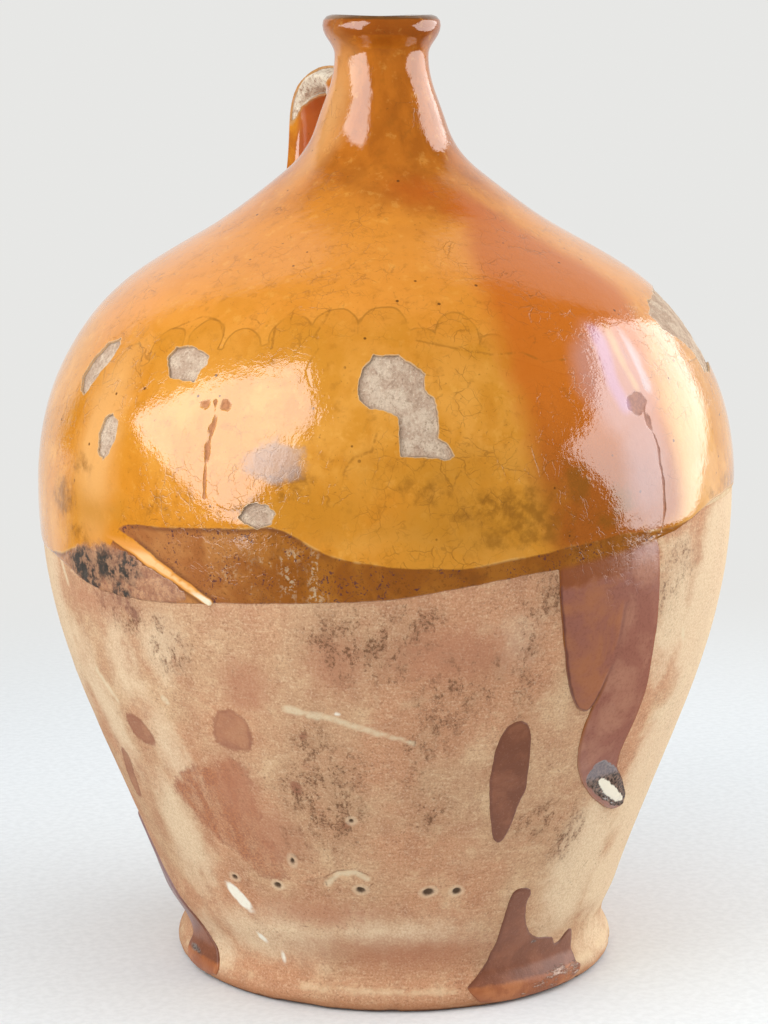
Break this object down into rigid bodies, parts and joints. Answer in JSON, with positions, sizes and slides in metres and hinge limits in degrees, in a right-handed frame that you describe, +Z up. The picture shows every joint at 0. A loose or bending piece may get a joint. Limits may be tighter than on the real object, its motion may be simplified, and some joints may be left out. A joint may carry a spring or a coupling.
{
  "type": "oil pitcher",
  "caption": "Tall round-bellied earthenware oil jug with a narrow neck, a flat collared lip and one small strap handle, honey glaze on its upper half and bare clay below.",
  "frame": {"origin": "middle of the underside, on the surface the jug stands on", "axes": "+Z up the axis the jug was thrown on, +Y towards the handle, -Y the front"},
  "size_m": [0.3358, 0.3358, 0.455],
  "materials": {
    "bare_clay": "matte",
    "white_slip": "matte",
    "honey_glaze": "gloss",
    "inner_glaze": "gloss",
    "brown_glaze": "satin"
  },
  "bodies": {
    "root": {"foot": "bare_clay", "lower_wall": "bare_clay", "upper_wall": "bare_clay", "neck": "bare_clay", "lip_collar": "bare_clay", "handle_strap": "bare_clay", "handle_neck_luting": "bare_clay", "handle_shoulder_luting": "bare_clay", "slip_coat": "white_slip", "glaze_coat": "honey_glaze", "handle_glaze": "honey_glaze", "interior_glaze": "inner_glaze", "glaze_run": "brown_glaze", "glaze_patch": "brown_glaze", "foot_splash_front": "brown_glaze", "foot_splash_side": "brown_glaze"}
  },
  "joints": []
}
